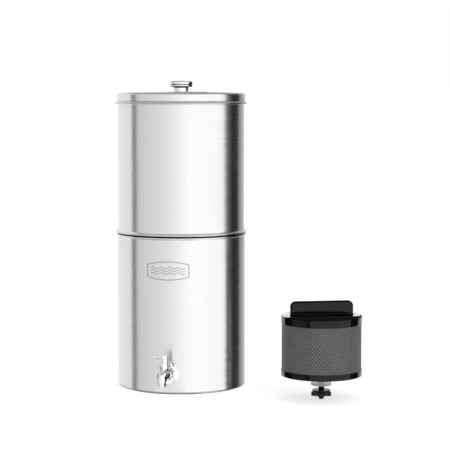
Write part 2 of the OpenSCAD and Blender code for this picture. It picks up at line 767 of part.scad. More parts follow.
module core_tube() {
    rings = 6;
    ring_pitch = media_h / (rings + 1);
    color("white") difference() {
        translate([0, 0, media_z]) tube(core_out_r, core_in_r, media_h);
        for (i = [1:rings], turn = [0:60:120])
            translate([0, 0, media_z + i * ring_pitch]) rotate([90, 0, turn + 30 * (i % 2)])
                cylinder(d = 4, h = core_d + 2 * CUT, center = true);
    }
}

module sealing_washer() {
    color("white") translate([0, 0, seal_z])
        soft_ring(seal_d / 2, stem_d / 2 + turn_gap, seal_t - 0.02, 1.8);
}

module backing_washer() {
    color("black") soft_ring(backing_d / 2, stem_d / 2 + turn_gap, backing_t, backing_t * 0.3);
}

module hand_nut() {
    tip_r = hand_nut_arm_w / 2;
    arm_l = hand_nut_span / 2;
    color("black") difference() {
        union() {
            soft_ring(hand_nut_hub_d / 2, 0, hand_nut_t, 0.6);
            for (turn = [0:90:270]) rotate([0, 0, turn]) {
                translate([0, -tip_r, 0.8]) cube([arm_l - 2, hand_nut_arm_w, hand_nut_t - 1.6]);
                translate([arm_l - 3, -tip_r + 1, 0.8])
                    cube([3, hand_nut_arm_w - 2, hand_nut_t - 1.6]);
            }
        }
        translate([0, 0, -CUT]) cylinder(d = stem_d + 2 * turn_gap, h = hand_nut_t + 2 * CUT);
    }
}

module cartridge_top_cap() { fitted() top_cap(); }
module cartridge_mesh_sleeve() { fitted() mesh_sleeve(); }
module cartridge_fleece_wrap() { fitted() fleece_wrap(); }
module cartridge_carbon_block() { fitted() carbon_block(); }
module cartridge_core_tube() { fitted() core_tube(); }
module cartridge_bottom_cap() { fitted() bottom_cap(); }
module cartridge_sealing_washer() { fitted() sealing_washer(); }
module cartridge_backing_washer() { fitted(floor_z - backing_t) backing_washer(); }
module cartridge_hand_nut() { fitted(fitted_nut_z) hand_nut(); }

module spare_top_cap() { standing() top_cap(); }
module spare_mesh_sleeve() { standing() mesh_sleeve(); }
module spare_fleece_wrap() { standing() fleece_wrap(); }
module spare_carbon_block() { standing() carbon_block(); }
module spare_core_tube() { standing() core_tube(); }
module spare_bottom_cap() { standing() bottom_cap(); }
module spare_sealing_washer() { standing() sealing_washer(); }
module spare_backing_washer() { standing(0, hand_nut_z + hand_nut_t) backing_washer(); }
module spare_hand_nut() { standing(stand_nut_turn, hand_nut_z) hand_nut(); }

lower_chamber_shell();
badge_plate();
tap_body();
tap_escutcheon();
tap_outer_washer();
tap_inner_washer();
tap_lock_nut();
tap_bonnet();
tap_plug();
tap_o_ring();
tap_lever();
tap_lever_screw();
upper_chamber_shell();
lid_pan();
lid_knob();
knob_washer();
knob_screw();
cartridge_top_cap();
cartridge_mesh_sleeve();
cartridge_fleece_wrap();
cartridge_carbon_block();
cartridge_core_tube();
cartridge_bottom_cap();
cartridge_sealing_washer();
cartridge_backing_washer();
cartridge_hand_nut();
spare_top_cap();
spare_mesh_sleeve();
spare_fleece_wrap();
spare_carbon_block();
spare_core_tube();
spare_bottom_cap();
spare_sealing_washer();
spare_backing_washer();
spare_hand_nut();
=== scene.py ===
import json
import math

import bmesh
import bpy
from mathutils import Matrix, Vector


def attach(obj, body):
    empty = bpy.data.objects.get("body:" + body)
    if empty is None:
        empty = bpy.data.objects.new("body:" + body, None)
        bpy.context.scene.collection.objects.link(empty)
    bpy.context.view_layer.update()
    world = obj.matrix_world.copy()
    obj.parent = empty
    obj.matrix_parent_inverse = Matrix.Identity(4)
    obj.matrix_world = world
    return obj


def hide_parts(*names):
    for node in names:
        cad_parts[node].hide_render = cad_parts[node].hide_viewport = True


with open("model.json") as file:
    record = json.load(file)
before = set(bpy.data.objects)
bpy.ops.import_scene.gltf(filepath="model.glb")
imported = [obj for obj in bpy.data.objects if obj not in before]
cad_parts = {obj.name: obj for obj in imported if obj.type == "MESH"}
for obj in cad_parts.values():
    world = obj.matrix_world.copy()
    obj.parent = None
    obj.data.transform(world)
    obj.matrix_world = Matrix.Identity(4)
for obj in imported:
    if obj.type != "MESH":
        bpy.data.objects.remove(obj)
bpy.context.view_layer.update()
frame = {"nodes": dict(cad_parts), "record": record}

# Lengths are written in millimetres and scaled to metres where a mesh is made.
MM = 0.001


# ---- camera ----

CAMERA_PLACE = (0.5834, -2.7087, 0.5050)
CAMERA_DIP = 4.743
CAMERA_TURN = 10.6
CAMERA_LENS = 129.04

camera_data = bpy.data.cameras.new("camera")
camera_data.lens = CAMERA_LENS
camera_data.sensor_width = 36.0
camera = bpy.data.objects.new("camera", camera_data)
camera.location = CAMERA_PLACE
camera.rotation_euler = (math.radians(90 - CAMERA_DIP), 0, math.radians(CAMERA_TURN))
bpy.context.scene.collection.objects.link(camera)
bpy.context.scene.camera = camera
bpy.context.scene.view_settings.view_transform = "Standard"


# ---- node helpers ----

def put(tree, kind, inputs=None, **settings):
    """Adds a shader node. An input takes a plain value, or the socket that feeds it."""
    node = tree.nodes.new("ShaderNode" + kind)
    for key, value in settings.items():
        setattr(node, key, value)
    for key, value in (inputs or {}).items():
        if isinstance(value, bpy.types.NodeSocket):
            tree.links.new(value, node.inputs[key])
        else:
            node.inputs[key].default_value = value
    return node


def compute(tree, operation, first, second=0.0):
    """One step of arithmetic on shader values."""
    return put(tree, "Math", {0: first, 1: second}, operation=operation).outputs[0]


def spread(tree, value, low, high, new_low, new_high, smooth=False):
    """Maps value from one range to another, clamped at its ends."""
    kind = "SMOOTHSTEP" if smooth else "LINEAR"
    node = put(tree, "MapRange", {"Value": value, "From Min": low, "From Max": high,
                                  "To Min": new_low, "To Max": new_high},
               interpolation_type=kind)
    return node.outputs[0]


def blend_colours(tree, mask, first, second):
    """The first colour where the mask is 0 and the second where it is 1."""
    node = put(tree, "Mix", {0: mask, 6: first, 7: second}, data_type="RGBA")
    return node.outputs[2]


def grey(level):
    """A level as an opaque colour."""
    return (level, level, level, 1.0)


def new_group(name, inputs, outputs):
    """A shader node group; inputs hold default values, outputs hold socket kinds."""
    group = bpy.data.node_groups.new(name, "ShaderNodeTree")
    for key, value in inputs.items():
        socket = group.interface.new_socket(key, in_out="INPUT", socket_type="NodeSocketFloat")
        socket.default_value = value
    for key, kind in outputs.items():
        group.interface.new_socket(key, in_out="OUTPUT", socket_type="NodeSocket" + kind)
    start = group.nodes.new("NodeGroupInput")
    end = group.nodes.new("NodeGroupOutput")
    return group, start.outputs, end.inputs


def place_group(tree, group, **values):
    """Uses a shared effect. An underscore in a value's name stands for a space."""
    node = tree.nodes.new("ShaderNodeGroup")
    node.node_tree = group
    for key, value in values.items():
        node.inputs[key.replace("_", " ")].default_value = value
    return node.outputs


# ---- effects shared by several finishes ----

def brushing_group():
    """Brush lines that run round the vertical axis, on walls and on flat tops alike."""
    group, given, out = new_group(
        "brushing", {"Lines": 900.0, "Run": 14.0, "Unevenness": 90.0},
        {"Height": "Float", "Tone": "Float", "Wander": "Float"})
    place = put(group, "TexCoord").outputs["Object"]
    parts = put(group, "SeparateXYZ", {0: place}).outputs
    flat = put(group, "CombineXYZ", {0: parts[0], 1: parts[1]}).outputs[0]
    radius = put(group, "VectorMath", {0: flat}, operation="LENGTH").outputs["Value"]
    along = compute(group, "ADD", radius, parts[2])

    def rings(lines, run, detail):
        sideways = put(group, "VectorMath", {0: flat, "Scale": run}, operation="SCALE").outputs[0]
        split = put(group, "SeparateXYZ", {0: sideways}).outputs
        level = compute(group, "MULTIPLY", along, lines)
        point = put(group, "CombineXYZ", {0: split[0], 1: split[1], 2: level}).outputs[0]
        return put(group, "TexNoise", {"Vector": point, "Scale": 1.0, "Detail": detail,
                                       "Roughness": 0.6}).outputs[0]

    fine = rings(given["Lines"], given["Run"], 4.0)
    coarse = rings(given["Unevenness"], given["Run"], 3.0)
    mixed = compute(group, "ADD", compute(group, "MULTIPLY", fine, 0.6),
                    compute(group, "MULTIPLY", coarse, 0.4))
    group.links.new(mixed, out["Height"])
    group.links.new(spread(group, fine, 0.3, 0.7, 0.0, 1.0), out["Tone"])
    group.links.new(coarse, out["Wander"])
    return group


def handling_group():
    """Broad, faint patches where a surface was wiped and touched."""
    group, given, out = new_group(
        "handling", {"Size": 25.0, "Sharpness": 0.5}, {"Mask": "Float"})
    place = put(group, "TexCoord").outputs["Object"]
    broad = put(group, "TexNoise", {"Vector": place, "Scale": given["Size"],
                                    "Detail": 5.0, "Roughness": given["Sharpness"]}).outputs[0]
    group.links.new(spread(group, broad, 0.35, 0.7, 0.0, 1.0, smooth=True), out["Mask"])
    return group


def edge_wear_group():
    """Mask of the convex edges, broken up by noise."""
    group, given, out = new_group(
        "edge wear", {"Start": 0.52, "End": 0.6, "Break": 300.0}, {"Mask": "Float"})
    pointed = put(group, "NewGeometry").outputs["Pointiness"]
    edge = spread(group, pointed, given["Start"], given["End"], 0.0, 1.0)
    place = put(group, "TexCoord").outputs["Object"]
    noise = put(group, "TexNoise", {"Vector": place, "Scale": given["Break"],
                                    "Detail": 3.0}).outputs[0]
    broken = spread(group, noise, 0.4, 0.62, 0.0, 1.0)
    group.links.new(compute(group, "MULTIPLY", edge, broken), out["Mask"])
    return group


def turned_band_group():
    """Mask of a ring round the vertical axis, between two radii and two heights."""
    group, given, out = new_group(
        "turned band", {"Inner": 0.0, "Outer": 1.0, "Low": 0.0, "High": 1.0, "Soft": 0.0001},
        {"Mask": "Float"})
    place = put(group, "TexCoord").outputs["Object"]
    parts = put(group, "SeparateXYZ", {0: place}).outputs
    flat = put(group, "CombineXYZ", {0: parts[0], 1: parts[1]}).outputs[0]
    radius = put(group, "VectorMath", {0: flat}, operation="LENGTH").outputs["Value"]

    def between(value, low, high):
        above = spread(group, value, low, compute(group, "ADD", low, given["Soft"]), 0.0, 1.0)
        below = spread(group, value, compute(group, "SUBTRACT", high, given["Soft"]), high, 1.0, 0.0)
        return compute(group, "MULTIPLY", above, below)

    across = between(radius, given["Inner"], given["Outer"])
    upright = between(parts[2], given["Low"], given["High"])
    group.links.new(compute(group, "MULTIPLY", across, upright), out["Mask"])
    return group


def moulded_group():
    """The faint ripple and fine grain of moulded plastic or rubber."""
    group, given, out = new_group(
        "moulded skin", {"Grain": 900.0, "Ripple": 40.0, "Grain Share": 0.5},
        {"Height": "Float", "Grain": "Float"})
    place = put(group, "TexCoord").outputs["Object"]
    grain = put(group, "TexNoise", {"Vector": place, "Scale": given["Grain"],
                                    "Detail": 2.0}).outputs[0]
    ripple = put(group, "TexNoise", {"Vector": place, "Scale": given["Ripple"],
                                     "Detail": 1.0}).outputs[0]
    fine = compute(group, "MULTIPLY", grain, given["Grain Share"])
    group.links.new(compute(group, "ADD", fine, ripple), out["Height"])
    group.links.new(grain, out["Grain"])
    return group


BRUSHING = brushing_group()
HANDLING = handling_group()
EDGE_WEAR = edge_wear_group()
TURNED_BAND = turned_band_group()
MOULDED = moulded_group()


# ---- finishes ----

# Heights on the knob in metres, and the radii of the groove in its head.
KNOB_TOP_Z = 0.523
KNOB_HEAD_Z = 0.5123
KNOB_GROOVE_Z = 0.5163
KNOB_GROOVE_HALF_H = 0.0007
KNOB_UNDERSIDE_LOW = KNOB_HEAD_Z - 0.0018
KNOB_UNDERSIDE_HIGH = KNOB_HEAD_Z + 0.0014
KNOB_GROOVE_IN_R = 0.0172
KNOB_GROOVE_OUT_R = 0.01935
KNOB_CROWN_H = 0.0034
# How far the brush lines turn a surface aside, which frays the edges of reflections.
BRUSH_SWAY = 0.05
# Bands (low, high, tone) in millimetres where shade is painted into the steel's colour, for lines
# that are too narrow for the studio's reflections to show: painted shadow in the shoulder's seam and
# under the rim's fold, at the foot and the curled edge, and at the lid skirt's lower edge, and a
# painted dark reflection along the lid skirt's top edge.
UPPER_CHAMBER_PAINTED_SHADE = ((262.0, 264.8, 0.02), (484.5, 485.7, 0.2))
LOWER_CHAMBER_PAINTED_SHADE = ((0.9, 3.9, 0.45), (261.6, 262.6, 0.1))
LID_PAINTED_SHADE = ((487.8, 489.0, 0.6), (501.2, 502.9, 0.15))
# The badge's border and waves stand further out than this, in millimetres, and are darker.
BADGE_RELIEF_R = 110.35
BADGE_RELIEF_TONE = 0.46


def new_finish(name, **sockets):
    """A material with one Principled BSDF. Plain values go straight on its sockets."""
    material = bpy.data.materials.new(name)
    material.use_nodes = True
    tree = material.node_tree
    shader = tree.nodes["Principled BSDF"]
    for key, value in sockets.items():
        shader.inputs[key.replace("_", " ")].default_value = value
    return material, tree, shader


def bump(tree, shader, height, distance, strength):
    """Gives a finish its fine relief."""
    node = put(tree, "Bump", {"Height": height, "Distance": distance, "Strength": strength})
    tree.links.new(node.outputs[0], shader.inputs["Normal"])


def brushed_steel(name="brushed steel", bands=(), relief_r=None):
    """Steel brushed round its axis. Shade is painted darker into its colour in the bands (low, high,
    tone), and relief that stands further out than relief_r is darker."""
    material, tree, shader = new_finish(
        name, Metallic=1.0, Roughness=0.3, Anisotropic=0.85, Anisotropic_Rotation=0.25)
    lines = place_group(tree, BRUSHING, Run=7.0, Unevenness=330.0)
    wiped = place_group(tree, HANDLING, Size=14.0)
    around = put(tree, "Tangent", direction_type="RADIAL", axis="Z").outputs[0]
    tree.links.new(around, shader.inputs["Tangent"])
    toned = blend_colours(tree, lines["Tone"], grey(0.796), grey(0.804))
    colour = blend_colours(tree, wiped["Mask"], toned, grey(0.804))
    dull = spread(tree, lines["Wander"], 0.3, 0.7, 0.235, 0.265)
    dull = compute(tree, "ADD", dull, compute(tree, "MULTIPLY", wiped["Mask"], 0.03))
    # Painted shade: each band darkens the steel's colour to its tone.
    for low, high, tone in bands:
        mask = place_group(tree, TURNED_BAND, Low=low * MM, High=high * MM, Soft=0.0003)["Mask"]
        colour = blend_colours(tree, mask, colour, grey(tone))
    if relief_r:
        raised = place_group(tree, TURNED_BAND, Inner=relief_r * MM)
        colour = blend_colours(tree, raised["Mask"], colour, grey(BADGE_RELIEF_TONE))
    tree.links.new(colour, shader.inputs["Base Color"])
    tree.links.new(dull, shader.inputs["Roughness"])
    scored = put(tree, "Bump", {"Height": lines["Height"], "Distance": 0.0002,
                                "Strength": 0.05}).outputs[0]
    sway = compute(tree, "MULTIPLY", compute(tree, "SUBTRACT", lines["Wander"], 0.5), BRUSH_SWAY)
    aside = put(tree, "VectorMath", {0: around, "Scale": sway}, operation="SCALE").outputs[0]
    leaning = put(tree, "VectorMath", {0: scored, 1: aside}, operation="ADD").outputs[0]
    normal = put(tree, "VectorMath", {0: leaning}, operation="NORMALIZE").outputs[0]
    tree.links.new(normal, shader.inputs["Normal"])
    return material


def polished_steel():
    """The knob's finish: a mirror, with shade painted dark into its colour in the groove and under
    the head, and dull on the crown."""
    material, tree, shader = new_finish("polished steel", Metallic=1.0, Roughness=0.06)
    lines = place_group(tree, BRUSHING, Lines=1500.0)
    wiped = place_group(tree, HANDLING, Size=60.0)
    groove = place_group(tree, TURNED_BAND, Inner=KNOB_GROOVE_IN_R, Outer=KNOB_GROOVE_OUT_R,
                         Low=KNOB_GROOVE_Z - KNOB_GROOVE_HALF_H,
                         High=KNOB_GROOVE_Z + KNOB_GROOVE_HALF_H)
    under = place_group(tree, TURNED_BAND, Low=KNOB_UNDERSIDE_LOW, High=KNOB_UNDERSIDE_HIGH,
                        Soft=0.0004)
    crown = place_group(tree, TURNED_BAND, Low=KNOB_TOP_Z - KNOB_CROWN_H, Soft=0.001)
    colour = blend_colours(tree, wiped["Mask"], grey(0.86), grey(0.82))
    # Painted shade: dark in the groove and near black under the head.
    colour = blend_colours(tree, groove["Mask"], colour, grey(0.08))
    colour = blend_colours(tree, under["Mask"], colour, grey(0.02))
    tree.links.new(colour, shader.inputs["Base Color"])
    dull = spread(tree, wiped["Mask"], 0.0, 1.0, 0.03, 0.08)
    dull = compute(tree, "ADD", dull, compute(tree, "MULTIPLY", crown["Mask"], 0.4))
    tree.links.new(dull, shader.inputs["Roughness"])
    bump(tree, shader, lines["Height"], 0.0002, 0.05)
    return material


def chrome():
    """The tap's plating, a little dull where it was handled."""
    material, tree, shader = new_finish("chrome", Metallic=1.0, Roughness=0.06)
    wiped = place_group(tree, HANDLING, Size=120.0)
    worn = place_group(tree, EDGE_WEAR)
    colour = blend_colours(tree, wiped["Mask"], grey(0.93), grey(0.86))
    colour = blend_colours(tree, worn["Mask"], colour, grey(0.8))
    tree.links.new(colour, shader.inputs["Base Color"])
    dull = spread(tree, wiped["Mask"], 0.0, 1.0, 0.03, 0.1)
    tree.links.new(dull, shader.inputs["Roughness"])
    skin = place_group(tree, MOULDED, Grain=400.0, Ripple=120.0, Grain_Share=0.1)
    bump(tree, shader, skin["Height"], 0.0002, 0.15)
    return material


def plain_steel():
    """Nuts, screws and washers."""
    material, tree, shader = new_finish("plain steel", Metallic=1.0, Roughness=0.35)
    wiped = place_group(tree, HANDLING, Size=90.0)
    worn = place_group(tree, EDGE_WEAR)
    colour = blend_colours(tree, wiped["Mask"], grey(0.62), grey(0.5))
    colour = blend_colours(tree, worn["Mask"], colour, grey(0.75))
    tree.links.new(colour, shader.inputs["Base Color"])
    dull = spread(tree, wiped["Mask"], 0.0, 1.0, 0.28, 0.45)
    tree.links.new(dull, shader.inputs["Roughness"])
    skin = place_group(tree, MOULDED, Grain=1500.0)
    bump(tree, shader, skin["Height"], 0.0001, 0.2)
    return material


def plastic(name, colour, worn_colour, roughness, gloss_spread, grain=900.0, depth=0.0001,
            shine=0.5):
    """A moulded plastic or rubber with worn edges and uneven gloss."""
    material, tree, shader = new_finish(name, Roughness=roughness, Specular_IOR_Level=shine)
    wiped = place_group(tree, HANDLING, Size=50.0)
    worn = place_group(tree, EDGE_WEAR)
    shade = blend_colours(tree, worn["Mask"], colour, worn_colour)
    tree.links.new(shade, shader.inputs["Base Color"])
    dull = spread(tree, wiped["Mask"], 0.0, 1.0, roughness, roughness + gloss_spread)
    tree.links.new(dull, shader.inputs["Roughness"])
    skin = place_group(tree, MOULDED, Grain=grain)
    bump(tree, shader, skin["Height"], depth, 0.3)
    return material


def fleece():
    """The felt wrap under the net."""
    material, tree, shader = new_finish("fleece", Roughness=0.95, Sheen_Weight=0.3)
    place = put(tree, "TexCoord").outputs["Object"]
    fibres = put(tree, "TexNoise", {"Vector": place, "Scale": 1400.0, "Detail": 6.0,
                                    "Distortion": 2.0}).outputs[0]
    colour = blend_colours(tree, spread(tree, fibres, 0.35, 0.65, 0.0, 1.0),
                           grey(0.02), grey(0.06))
    tree.links.new(colour, shader.inputs["Base Color"])
    bump(tree, shader, fibres, 0.0005, 0.8)
    return material


def carbon():
    """The cartridge's block of pressed grains."""
    material, tree, shader = new_finish("carbon", Roughness=0.85)
    place = put(tree, "TexCoord").outputs["Object"]
    grains = put(tree, "TexVoronoi", {"Vector": place, "Scale": 1200.0}).outputs["Distance"]
    colour = blend_colours(tree, grains, grey(0.03), grey(0.006))
    tree.links.new(colour, shader.inputs["Base Color"])
    bump(tree, shader, grains, 0.0004, 0.7)
    return material


def milky_silicone():
    """Soft white silicone that lets some light through."""
    material, tree, shader = new_finish(
        "white silicone", Roughness=0.4, IOR=1.2, Transmission_Weight=0.55)
    skin = place_group(tree, MOULDED, Grain=700.0)
    wiped = place_group(tree, HANDLING, Size=80.0)
    tree.links.new(blend_colours(tree, wiped["Mask"], grey(0.94), grey(0.88)),
                   shader.inputs["Base Color"])
    tree.links.new(spread(tree, skin["Grain"], 0.3, 0.7, 0.35, 0.5), shader.inputs["Roughness"])
    bump(tree, shader, skin["Height"], 0.0002, 0.2)
    return material


FINISHES = {
    "brushed_steel": brushed_steel(),
    "upper_steel": brushed_steel("brushed steel, upper chamber", UPPER_CHAMBER_PAINTED_SHADE),
    "lower_steel": brushed_steel("brushed steel, lower chamber", LOWER_CHAMBER_PAINTED_SHADE),
    "lid_steel": brushed_steel("brushed steel, lid", LID_PAINTED_SHADE),
    "badge_steel": brushed_steel("badge steel", relief_r=BADGE_RELIEF_R),
    "polished_steel": polished_steel(),
    "chrome": chrome(),
    "plain_steel": plain_steel(),
    "gloss_black": plastic("gloss black", grey(0.004), grey(0.01), 0.03, 0.05, grain=500.0,
                           depth=0.00002, shine=0.28),
    "matte_black": plastic("matte black", grey(0.004), grey(0.015), 0.16, 0.1, depth=0.0002,
                           shine=0.28),
    "mesh_grey": plastic("mesh grey", grey(0.15), grey(0.2), 0.45, 0.1),
    "fleece": fleece(),
    "carbon": carbon(),
    "white_plastic": plastic("white plastic", grey(0.75), grey(0.85), 0.35, 0.15),
    "white_silicone": milky_silicone(),
    "black_rubber": plastic("black rubber", grey(0.02), grey(0.04), 0.6, 0.15, depth=0.0003),
}


# ---- meshes ----

def arc(centre, radius, start, end, steps):
    """Points of an arc from angle start to end, in degrees."""
    angles = [math.radians(start + (end - start) * i / steps) for i in range(steps + 1)]
    return [(centre[0] + radius * math.cos(a), centre[1] + radius * math.sin(a))
            for a in angles]


def turned_ring(mesh, radius, height, around):
    """One ring of vertices round the axis."""
    turns = [2 * math.pi * i / around for i in range(around)]
    return [mesh.verts.new((radius * math.cos(t) * MM, radius * math.sin(t) * MM,
                            height * MM)) for t in turns]


def join_rings(mesh, rings, closed=False):
    """Faces between each ring and the next, and back to the first if closed."""
    pairs = list(zip(rings, rings[1:]))
    if closed:
        pairs.append((rings[-1], rings[0]))
    for ring, following in pairs:
        count = len(ring)
        for i in range(count):
            j = (i + 1) % count
            mesh.faces.new((ring[i], ring[j], following[j], following[i]))


def lathe(mesh, outline, around=192):
    """Turns a closed outline of (radius, height) points, which may touch the axis."""
    rings = []
    for radius, height in outline:
        if radius < 1e-6:
            rings.append([mesh.verts.new((0, 0, height * MM))])
        else:
            rings.append(turned_ring(mesh, radius, height, around))
    for ring, following in zip(rings, rings[1:] + rings[:1]):
        if len(ring) == 1 and len(following) == 1:
            continue
        for i in range(around):
            j = (i + 1) % around
            corners = [ring[i % len(ring)], ring[j % len(ring)],
                       following[j % len(following)], following[i % len(following)]]
            unique = []
            for vert in corners:
                if vert not in unique:
                    unique.append(vert)
            mesh.faces.new(unique)


def make_piece(name, mesh, finish, body, replaced, place, crease=32):
    """Turns a bmesh into a piece that rides on a body and stands for CAD nodes. Edges over
    the crease angle, in degrees, stay sharp."""
    mesh.transform(place.to_3x3().to_4x4())
    bmesh.ops.recalc_face_normals(mesh, faces=mesh.faces)
    data = bpy.data.meshes.new(name)
    mesh.to_mesh(data)
    mesh.free()
    data.shade_smooth()
    data.set_sharp_from_angle(angle=math.radians(crease))
    data.materials.append(FINISHES[finish])
    piece = bpy.data.objects.new(name, data)
    piece.location = place.translation
    bpy.context.scene.collection.objects.link(piece)
    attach(piece, body)
    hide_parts(*replaced)


# ---- cartridge pieces, built about their own axis with the stem's end at height 0 ----

# Lengths in millimetres.
CAP_R = 66.9
SLEEVE_R = 65.5
CAP_Z = 40.0
BOTTOM_CAP_T = 9.9
SLEEVE_H = 76.4
TOP_CAP_T = 12.6
CAP_FLOOR_T = 3.0
CAP_EDGE = 1.2
CAP_TOP_Z = CAP_Z + BOTTOM_CAP_T + SLEEVE_H + TOP_CAP_T
CAP_SLEEVE_GAP = 0.2
CAP_RIM_IN_R = SLEEVE_R + CAP_SLEEVE_GAP
NET_STRANDS = 78
NET_OPENING_H = 6.6
NET_RISE_PER_TURN = NET_STRANDS * NET_OPENING_H
NET_STRAND_W = 1.9
NET_STRAND_T = 0.8
NET_OUTER_GAP = 0.42
NET_INNER_GAP = 0.74
NET_END_GAP = 0.3
GRIP_W = 105.2
GRIP_H = 23.6
GRIP_T = 8.0
GRIP_CORNER_R = 9.0
GRIP_EDGE_R = 2.6
GRIP_FOOT_R = 2.2
STEM_R = 5.3
STEM_END_R = 4.35
STEM_END_H = 3.0
STEM_BORE_R = 2.5
BOSS_R = 14.0
BOSS_Z = 31.6
THREAD_TOP = 22.6
THREAD_PITCH = 2.0
THREAD_DEPTH = 0.75
THREAD_RUN_OUT = 1.2
NUT_T = 9.0
NUT_SPAN = 33.0
NUT_ARM_W = 8.6
NUT_HUB_R = 7.5
NUT_BORE_R = 5.35
NUT_EDGE_R = 1.0
NUT_TIP_R = 2.6
NUT_ARM_EDGE_R = 1.2

# Where the two cartridges and their nuts stand: metres, and degrees round the axis.
SPARE_AXIS = Vector((0.256182, -0.098596, 0))
SPARE_GRIP_TURN = 19.4
SPARE_NUT_TURN = 7.2
SPARE_NUT_Z = 0.004
FITTED_Z = 0.2266
FITTED_NUT_Z = 0.237


def threaded_stem(mesh, around=96):
    """Rings of a screw thread from its plain end up to the washer, with a run-out."""
    rings = []
    steps = int((THREAD_TOP - STEM_END_H) / THREAD_PITCH * 10)
    for step in range(steps + 1):
        height = STEM_END_H + (THREAD_TOP - STEM_END_H) * step / steps
        fade = min(1.0, (height - STEM_END_H) / THREAD_RUN_OUT,
                   (THREAD_TOP - height) / THREAD_RUN_OUT)
        ring = []
        for i in range(around):
            share = i / around
            # The wave runs from root to crest and back once a pitch, with flats on both.
            wave = (height / THREAD_PITCH - share) % 1.0
            flank = min(1.0, max(0.0, abs(wave - 0.5) * 2.8 - 0.2))
            start = STEM_END_R if height < STEM_END_H + 1e-6 else STEM_R
            depth = THREAD_DEPTH * (1 - flank) * max(0.0, fade)
            radius = start - (depth if start == STEM_R else 0)
            turn = 2 * math.pi * share
            ring.append(mesh.verts.new((radius * math.cos(turn) * MM,
                                        radius * math.sin(turn) * MM, height * MM)))
        rings.append(ring)
    return rings


def bottom_cap():
    """The lower end cap with its boss and threaded stem, turned in one piece."""
    mesh = bmesh.new()
    around = 192
    foot = [(STEM_BORE_R, 0.5), (STEM_BORE_R + 0.5, 0)]
    foot += arc((STEM_END_R - 0.6, 0.6), 0.6, -90, 0, steps=4)
    head = [(STEM_R, THREAD_TOP + 0.4), (STEM_R, BOSS_Z - 0.8)]
    head += arc((STEM_R + 0.8, BOSS_Z - 0.8), 0.8, 180, 90, steps=3)
    head += arc((BOSS_R - 0.8, BOSS_Z + 0.8), 0.8, -90, 0, steps=4)
    head += arc((BOSS_R + 1.6, CAP_Z - 1.6), 1.6, 180, 90, steps=5)
    head += arc((CAP_R - CAP_EDGE, CAP_Z + CAP_EDGE), CAP_EDGE, -90, 0, steps=6)
    head += arc((CAP_R - 0.5, CAP_Z + BOTTOM_CAP_T - 0.5), 0.5, 0, 90, steps=3)
    head += [(CAP_RIM_IN_R, CAP_Z + BOTTOM_CAP_T), (CAP_RIM_IN_R, CAP_Z + CAP_FLOOR_T)]
    head += [(STEM_BORE_R, CAP_Z + CAP_FLOOR_T)]
    rings = [turned_ring(mesh, r, z, around) for r, z in foot]
    rings += threaded_stem(mesh, around)
    rings += [turned_ring(mesh, r, z, around) for r, z in head]
    join_rings(mesh, rings, closed=True)
    return mesh


def loft(mesh, sections, place=Matrix()):
    """Rounded rectangles joined along the local Z axis: (z, half width, half depth, corner)."""
    rings = []
    for along, half_w, half_t, corner in sections:
        corner = min(corner, half_w - 0.01, half_t - 0.01)
        points = []
        for start, x_side, y_side in ((0, 1, 1), (90, -1, 1), (180, -1, -1), (270, 1, -1)):
            centre = ((half_w - corner) * x_side, (half_t - corner) * y_side)
            points += arc(centre, corner, start, start + 90, steps=6)
        rings.append([mesh.verts.new(place @ Vector((x * MM, y * MM, along * MM)))
                      for x, y in points])
    join_rings(mesh, rings)
    mesh.faces.new(rings[0])
    mesh.faces.new(rings[-1])


def grip_sections():
    """The grip's sections from the cap up: a filleted foot, straight sides, round corners."""
    top = CAP_TOP_Z + GRIP_H
    corner_start = top - GRIP_CORNER_R
    edge_start = top - GRIP_EDGE_R
    heights = [CAP_TOP_Z - 0.5]
    heights += [CAP_TOP_Z + GRIP_FOOT_R * (1 - math.cos(math.radians(a)))
                for a in range(0, 91, 15)]
    heights += [CAP_TOP_Z + GRIP_FOOT_R + 0.3, edge_start - 0.3]
    heights += [corner_start + GRIP_CORNER_R * math.sin(math.radians(a)) for a in range(0, 91, 5)]
    heights += [edge_start + GRIP_EDGE_R * math.sin(math.radians(a)) for a in range(0, 90, 15)]
    sections = []
    for height in sorted(set(round(h, 4) for h in heights)):
        half_w, half_t = GRIP_W / 2, GRIP_T / 2
        if height < CAP_TOP_Z + GRIP_FOOT_R:
            down = min(GRIP_FOOT_R, CAP_TOP_Z + GRIP_FOOT_R - height)
            flare = GRIP_FOOT_R - math.sqrt(GRIP_FOOT_R ** 2 - down ** 2)
            half_w, half_t = half_w + flare, half_t + flare
        if height > corner_start:
            rise = min(GRIP_CORNER_R, height - corner_start)
            half_w -= GRIP_CORNER_R - math.sqrt(GRIP_CORNER_R ** 2 - rise ** 2)
        if height > edge_start:
            rise = min(GRIP_EDGE_R, height - edge_start)
            half_t -= GRIP_EDGE_R - math.sqrt(GRIP_EDGE_R ** 2 - rise ** 2)
        sections.append((height, half_w, half_t, GRIP_EDGE_R))
    return sections


def top_cap():
    """The upper end cap with its grip."""
    mesh = bmesh.new()
    low = CAP_TOP_Z - TOP_CAP_T
    outline = [(0, CAP_TOP_Z)]
    outline += arc((CAP_R - CAP_EDGE, CAP_TOP_Z - CAP_EDGE), CAP_EDGE, 90, 0, steps=6)
    outline += arc((CAP_R - 0.5, low + 0.5), 0.5, 0, -90, steps=3)
    outline += [(CAP_RIM_IN_R, low), (CAP_RIM_IN_R, CAP_TOP_Z - CAP_FLOOR_T)]
    outline += [(0, CAP_TOP_Z - CAP_FLOOR_T)]
    lathe(mesh, outline)
    loft(mesh, grip_sections())
    return mesh


